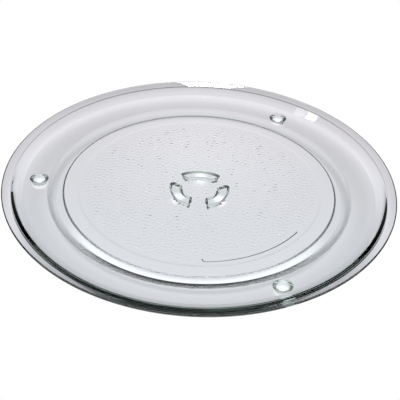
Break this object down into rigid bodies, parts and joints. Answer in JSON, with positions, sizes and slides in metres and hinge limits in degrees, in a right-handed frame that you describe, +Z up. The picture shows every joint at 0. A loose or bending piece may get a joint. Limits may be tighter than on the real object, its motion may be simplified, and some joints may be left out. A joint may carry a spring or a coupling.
{
  "type": "microwave turntable plate",
  "caption": "Round pressed glass turntable plate with a raised rounded rim, a ribbed roller track, low feet and a slotted lug ring underneath for the drive coupler.",
  "frame": {"origin": "centre of the plate at the level of its feet", "axes": "+Z up along the axis the plate turns about; one slot between the lugs points to -Y"},
  "size_m": [0.325, 0.325, 0.018],
  "materials": {
    "glass": "clear pressed glass, fire polished, pebbled underside inside the track"
  },
  "bodies": {
    "root": {"glass_plate": "glass"}
  },
  "joints": []
}
